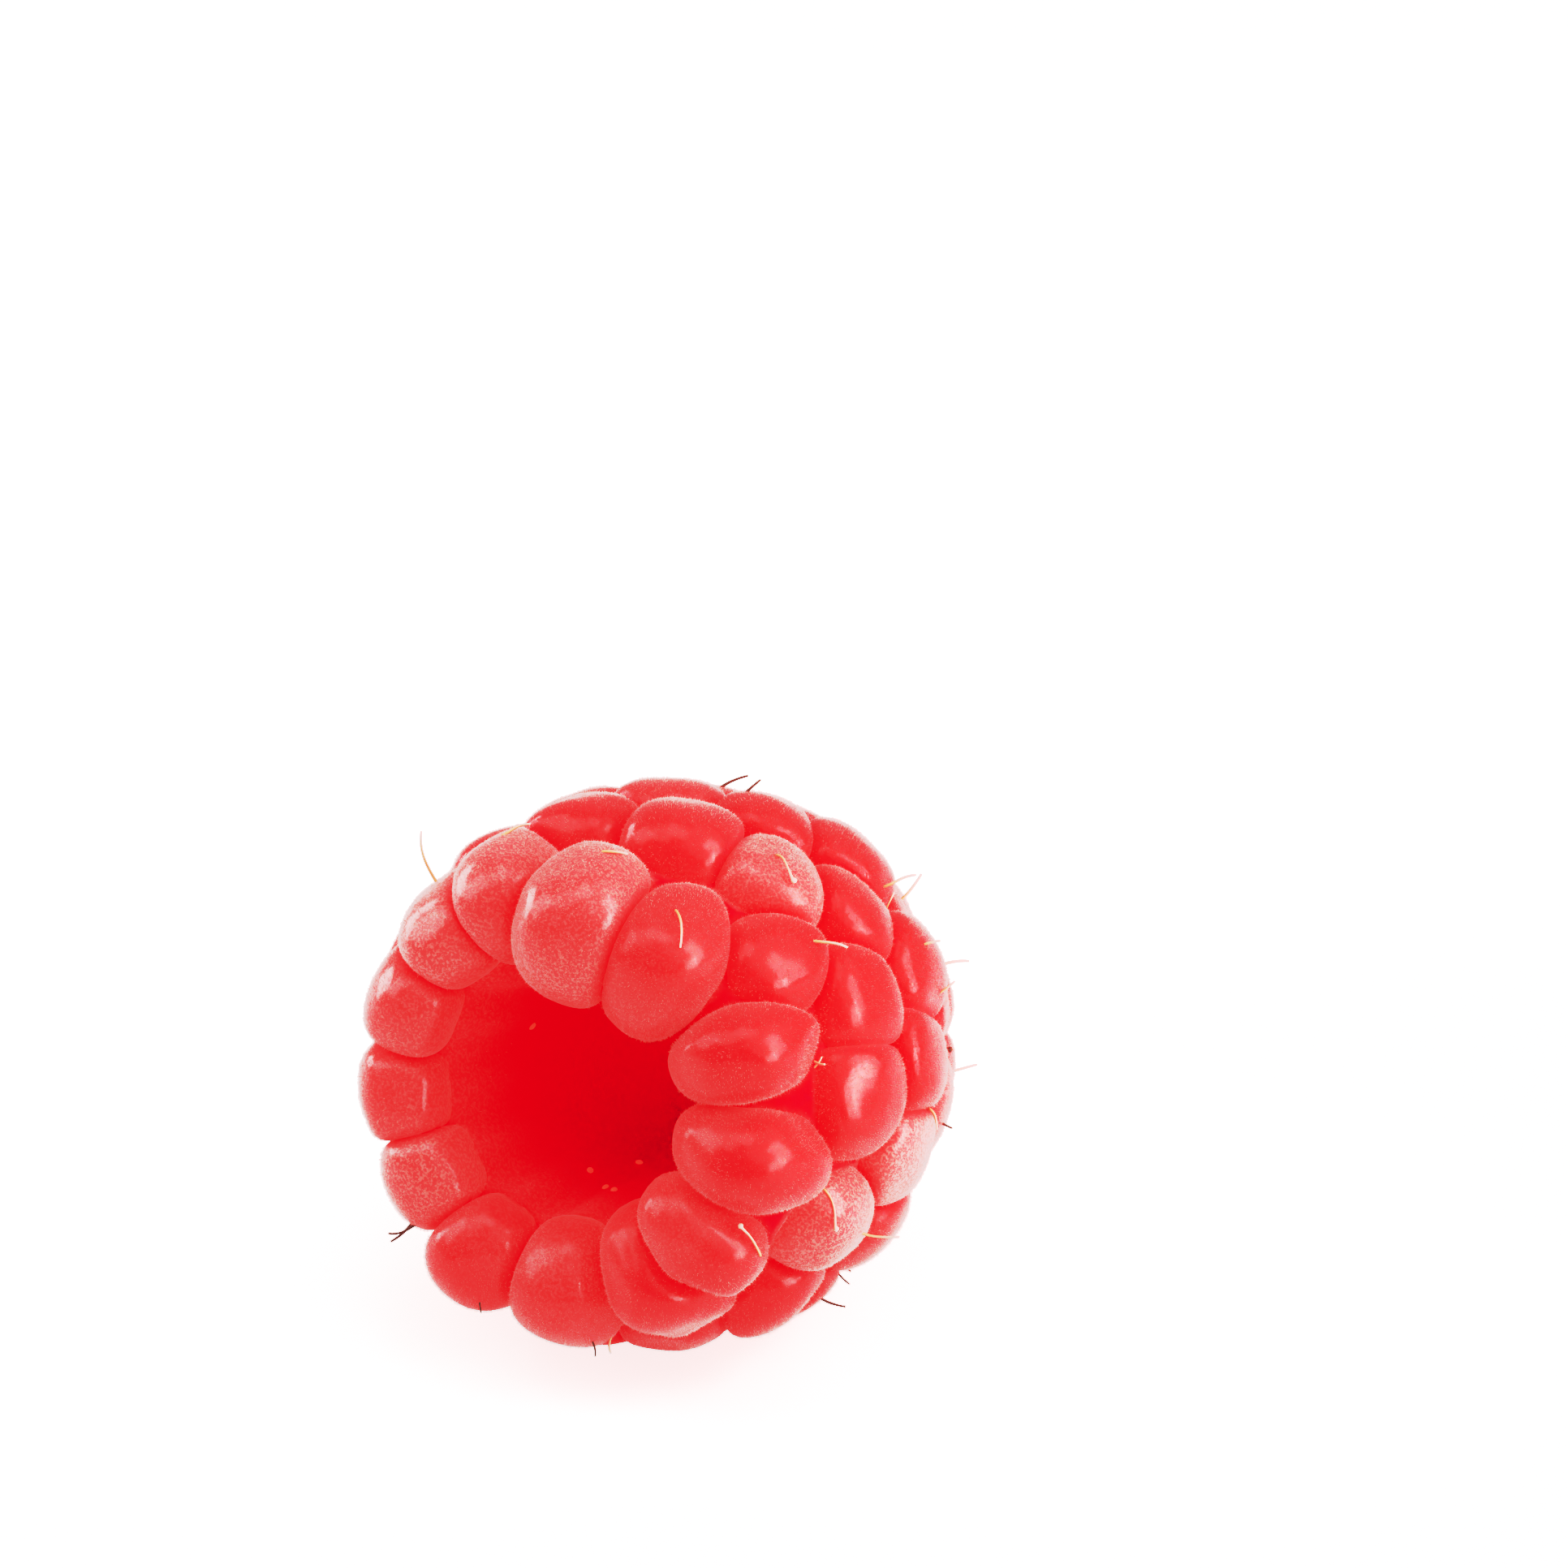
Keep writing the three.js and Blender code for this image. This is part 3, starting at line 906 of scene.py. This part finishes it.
def scatteredStyles(mesh, random, taken):
    # feet near the creases, each at least the given distance from every other, leaning to the fruit's tip
    points = vertexArray(mesh) / mm
    normals = vertexArray(mesh, "normal")
    crest, bloom = readPoints(mesh, "crest"), readPoints(mesh, "bloom")
    facing = normals @ cameraBack
    low, high = styles["crestBand"]
    free = (crest > low) & (crest < high) & (bloom > styles["leastBloom"])
    free &= (facing < styles["turnedAway"]) & (points[:, 2] > styles["lowest"])
    free &= unit(points - points.mean(axis=0)) @ cameraBack < 0
    feet, ways = [], []
    for i in random.permutation(np.flatnonzero(free)):
        near = taken + feet
        if np.linalg.norm(np.array(near) - points[i], axis=1).min() > styles["apart"]:
            feet.append(points[i])
            radial = unit(points[i] - mouth - ((points[i] - mouth) @ axisWay) * axisWay)
            lean = radial * random.uniform(*styles["leanOut"])
            lean += axisWay * random.uniform(*styles["leanTipwards"])
            lean = unit(lean + random.normal(0, styles["leanByChance"], 3))
            ways.append(lean * random.uniform(*styles["length"]))
        if len(feet) == styles["others"]:
            break
    return feet, [foot + way for foot, way in zip(feet, ways)]


def styleMaterial():
    material, tree, shader, vector = startMaterial("raspberry_styles")
    along, dark = readAttribute(tree, "along"), readAttribute(tree, "dark")
    colour = mixColour(tree, along, styles["straw"], styles["cream"])
    colour = mixColour(tree, dark, colour, styles["brown"])
    tree.links.new(colour, shader.inputs["Base Color"])
    shader.inputs["Roughness"].default_value = styles["roughness"]
    return material


def makeStyles(mesh):
    # each path is a straight line with an outward bow, 4t(1 - t), and a slight wave, sin(2 pi t)
    random = np.random.default_rng(styles["seed"])
    feet, tips, knobs, darks = placedStyles()
    moreFeet, moreTips = scatteredStyles(mesh, random, list(feet))
    knobs += list(random.uniform(0, 1, len(moreFeet)) < styles["knobShare"])
    darks += list(np.where(random.uniform(0, 1, len(moreFeet)) < styles["darkShare"], 1, 0))
    feet, tips = np.array(feet + moreFeet), np.array(tips + moreTips)
    count, steps = len(feet), styles["steps"]
    length = np.linalg.norm(tips - feet, axis=1)
    way = unit(tips - feet)
    t = np.linspace(0, 1, steps)[None, :, None]
    start = feet - way * styles["sink"]
    radial = unit(feet - mouth - ((feet - mouth) @ axisWay)[:, None] * axisWay)
    bow = unit(radial - (radial * way).sum(axis=1)[:, None] * way + 0.5 * acrossFrom(way, random))
    bow = bow * (length * random.uniform(*styles["bow"], count))[:, None]
    wave = acrossFrom(way, random)
    wave *= (length * random.uniform(-styles["wave"], styles["wave"], count))[:, None]
    paths = start[:, None] + (tips - start)[:, None] * t
    paths = paths + bow[:, None] * 4 * t * (1 - t) + wave[:, None] * np.sin(2 * np.pi * t)
    radii = np.linspace(styles["footRadius"], styles["tipRadius"], steps) * np.ones((count, 1))
    radii *= random.uniform(*styles["widthByChance"], (count, 1))
    knobs = np.array(knobs)[:, None]
    knobRadii = np.array(styles["knobShape"]) * styles["knobRadius"]
    radii[:, -3:] = np.where(knobs, knobRadii, radii[:, -3:])
    knobPath = tips[:, None] + way[:, None] * np.array(styles["knobSteps"])[:, None]
    paths[:, -3:] = np.where(knobs[..., None], knobPath, paths[:, -3:])
    paths[..., 2] = np.maximum(paths[..., 2], styles["knobRadius"])
    vertices, faces, step = tubes(paths, radii, styles["sides"])
    made = meshObject("raspberry_styles", vertices * mm, faces, styleMaterial())
    along = np.concatenate([[0], np.repeat(np.linspace(0, 1, steps), styles["sides"]), [1]])
    setAttribute(made.data, "along", np.tile(along ** 2, count))
    setAttribute(made.data, "dark", np.repeat(darks, step))
    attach(made, "root")
    return count


print("styles placed:", makeStyles(berry.data))


# small pale nubs where the drupelets' threads ran into the core, with a painted glow

scars = {
    "seed": 12,
    "placed": [(279, 4.4), (198, 4.5), (185, 4.0), (178, 3.6), (187, 6.8)],  # angle, and depth in the hollow
    "others": 16,
    "othersAt": (-25, 160),
    "othersFrom": (3.0, 12.5),
    "radius": (0.12, 0.2),
    "height": 0.09,
    "rings": [(1.0, -0.8), (0.9, 0.5), (0.5, 0.95)],  # share of the radius, and of the height
    "ends": (-0.8, 1.1),
    "sides": 7,
    "colour": (0.97, 0.10, 0.05),
    "paintedGlowColour": (1.0, 0.07, 0.04),  # painted glow: a light of their own, standing in for the light that reaches them through the flesh
    "glow": 0.5,
    "roughness": 0.6,
}


def makeScars():
    # each is a low dome of three rings, where a line outwards from the axis meets the hollow's wall
    random = np.random.default_rng(scars["seed"])
    tree = BVHTree.FromObject(berry, bpy.context.evaluated_depsgraph_get())
    more = zip(random.uniform(*scars["othersAt"], scars["others"]),
               random.uniform(*scars["othersFrom"], scars["others"]))
    domes, sides = [], scars["sides"]
    spin = np.linspace(0, 2 * np.pi, sides, endpoint=False)[:, None]
    for at, depth in [*scars["placed"], *more]:
        turn = np.radians(at)
        outwards = upperWay * np.cos(turn) + sideWay * np.sin(turn)
        start = mouth + axisWay * depth
        found, normal, _, _ = tree.ray_cast(Vector(start * mm), Vector(outwards))
        foot, up = np.array(found) / mm, np.array(normal)
        side = unit(np.cross(up, axisWay))
        other = np.cross(up, side)
        wide, long = random.uniform(*scars["radius"], 2)
        rings = [foot + up * height * scars["height"] + share * (
            side * np.cos(spin) * wide + other * np.sin(spin) * long)
            for share, height in scars["rings"]]
        ends = foot + up * scars["height"] * np.array(scars["ends"])[:, None]
        domes.append(np.vstack([ends[:1], *rings, ends[1:]]))
    one = gridFaces(len(scars["rings"]), sides)
    step = len(scars["rings"]) * sides + 2
    faces = [[v + i * step for v in face[::-1]] for i in range(len(domes)) for face in one]
    material, tree, shader, vector = startMaterial("raspberry_scars")
    shader.inputs["Base Color"].default_value = (*scars["colour"], 1)
    shader.inputs["Roughness"].default_value = scars["roughness"]
    # painted glow: the nubs give off red light though they are no lamp
    shader.inputs["Emission Color"].default_value = (*scars["paintedGlowColour"], 1)
    shader.inputs["Emission Strength"].default_value = scars["glow"]
    made = meshObject("raspberry_scars", np.vstack(domes) * mm, faces, material)
    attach(made, "root")


makeScars()
print("scars placed")


table = {
    "halfWidth": 1.5,
    "colour": (0.66, 0.80, 0.80),
    "roughness": 0.6,
    "glow": 1.27,  # lit through from below, as a light table is
}

lights = {  # azimuth 0 looks along +Y; sizes in millimetres, radiance in W/m2 sr
    "right": {"azimuth": 106, "elevation": 29, "wide": 130, "high": 225, "radiance": 5.2},
    "rightLow": {"azimuth": 86, "elevation": 12, "wide": 140, "high": 100, "radiance": 7.0},
    "rightWide": {"azimuth": 96, "elevation": 52, "wide": 400, "high": 250, "radiance": 1.1},
    "top": {"azimuth": 0, "elevation": 88, "wide": 128, "high": 128, "radiance": 3.6},
    "left": {"azimuth": -64, "elevation": 34, "wide": 150, "high": 160, "radiance": 3.6},
    "leftLow": {"azimuth": -95, "elevation": 12, "wide": 140, "high": 100, "radiance": 5.5},
    "leftHigh": {"azimuth": -45, "elevation": 60, "wide": 150, "high": 128, "radiance": 2.2},
}
lightDistance = 260
airStrength = 0.08

# pairs of a level and the level that it is shown as
toneCurve = [(0.1, 0.125), (0.2, 0.26), (0.3, 0.52), (0.4, 0.70), (0.5, 0.77), (0.7, 0.80), (1.0, 0.83),
             (1.3, 0.863), (1.5, 0.905), (1.7, 0.96), (1.9, 1.0)]
redLift = [(0.3, 0.35), (0.59, 0.67), (0.74, 0.765), (0.85, 0.85)]
redDepth = [(0.018, 0.0105), (0.043, 0.025), (0.063, 0.052), (0.095, 0.105), (0.161, 0.160), (0.3, 0.195),
            (0.5, 0.31), (0.7, 0.66), (0.8, 0.80), (0.9, 0.90)]
brightest = 2.4  # the light that is shown as white
blueHaze = 0.002  # a trace of blue in the deepest reds


def addLight(name, values):
    # a rectangle that faces the middle of the fruit: its power is its radiance times pi times its area
    a, e = np.radians([values["azimuth"], values["elevation"]])
    way = Vector((np.sin(a) * np.cos(e), -np.cos(a) * np.cos(e), np.sin(e)))
    data = bpy.data.lights.new(name, "AREA")
    data.shape = "RECTANGLE"
    data.size, data.size_y = values["wide"] * mm, values["high"] * mm
    data.energy = values["radiance"] * np.pi * data.size * data.size_y
    made = bpy.data.objects.new(name, data)
    made.location = Vector((0, 0, 0.01)) + way * lightDistance * mm
    made.rotation_euler = way.to_track_quat("Z", "Y").to_euler()
    bpy.context.scene.collection.objects.link(made)


def addAir():
    world = bpy.data.worlds.new("air")
    world.use_nodes = True
    world.node_tree.nodes["Background"].inputs["Color"].default_value = (1, 1, 1, 1)
    world.node_tree.nodes["Background"].inputs["Strength"].default_value = airStrength
    bpy.context.scene.world = world


def addTable():
    material, tree, shader, vector = startMaterial("table")
    shader.inputs["Base Color"].default_value = (*table["colour"], 1)
    shader.inputs["Roughness"].default_value = table["roughness"]
    shader.inputs["Emission Color"].default_value = (1, 1, 1, 1)
    seen = addNode(tree, "ShaderNodeLightPath").outputs["Is Camera Ray"]
    tree.links.new(combine(tree, seen, table["glow"]), shader.inputs["Emission Strength"])
    half = table["halfWidth"]
    corners = [(-half, -half, 0), (half, -half, 0), (half, half, 0), (-half, half, 0)]
    meshObject("table", corners, [(0, 1, 2, 3)], material, smooth=False)


def setTone():
    # highlights roll off as on film, dark reds are lifted, and weak green and blue held back
    view = bpy.context.scene.view_settings
    view.view_transform = "Standard"
    view.use_curve_mapping = True
    mapping = view.curve_mapping
    mapping.white_level = (brightest,) * 3
    for place, level in toneCurve:
        mapping.curves[3].points.new(place / brightest, level)
    for place, level in redLift:
        mapping.curves[0].points.new(place, level)
    for place, level in redDepth:
        mapping.curves[1].points.new(place, level)
        mapping.curves[2].points.new(place, level)
    mapping.curves[2].points[0].location = (0, blueHaze)
    mapping.update()


for name, values in lights.items():
    addLight(name, values)
addAir()
addTable()
setTone()
print("table and lights placed")
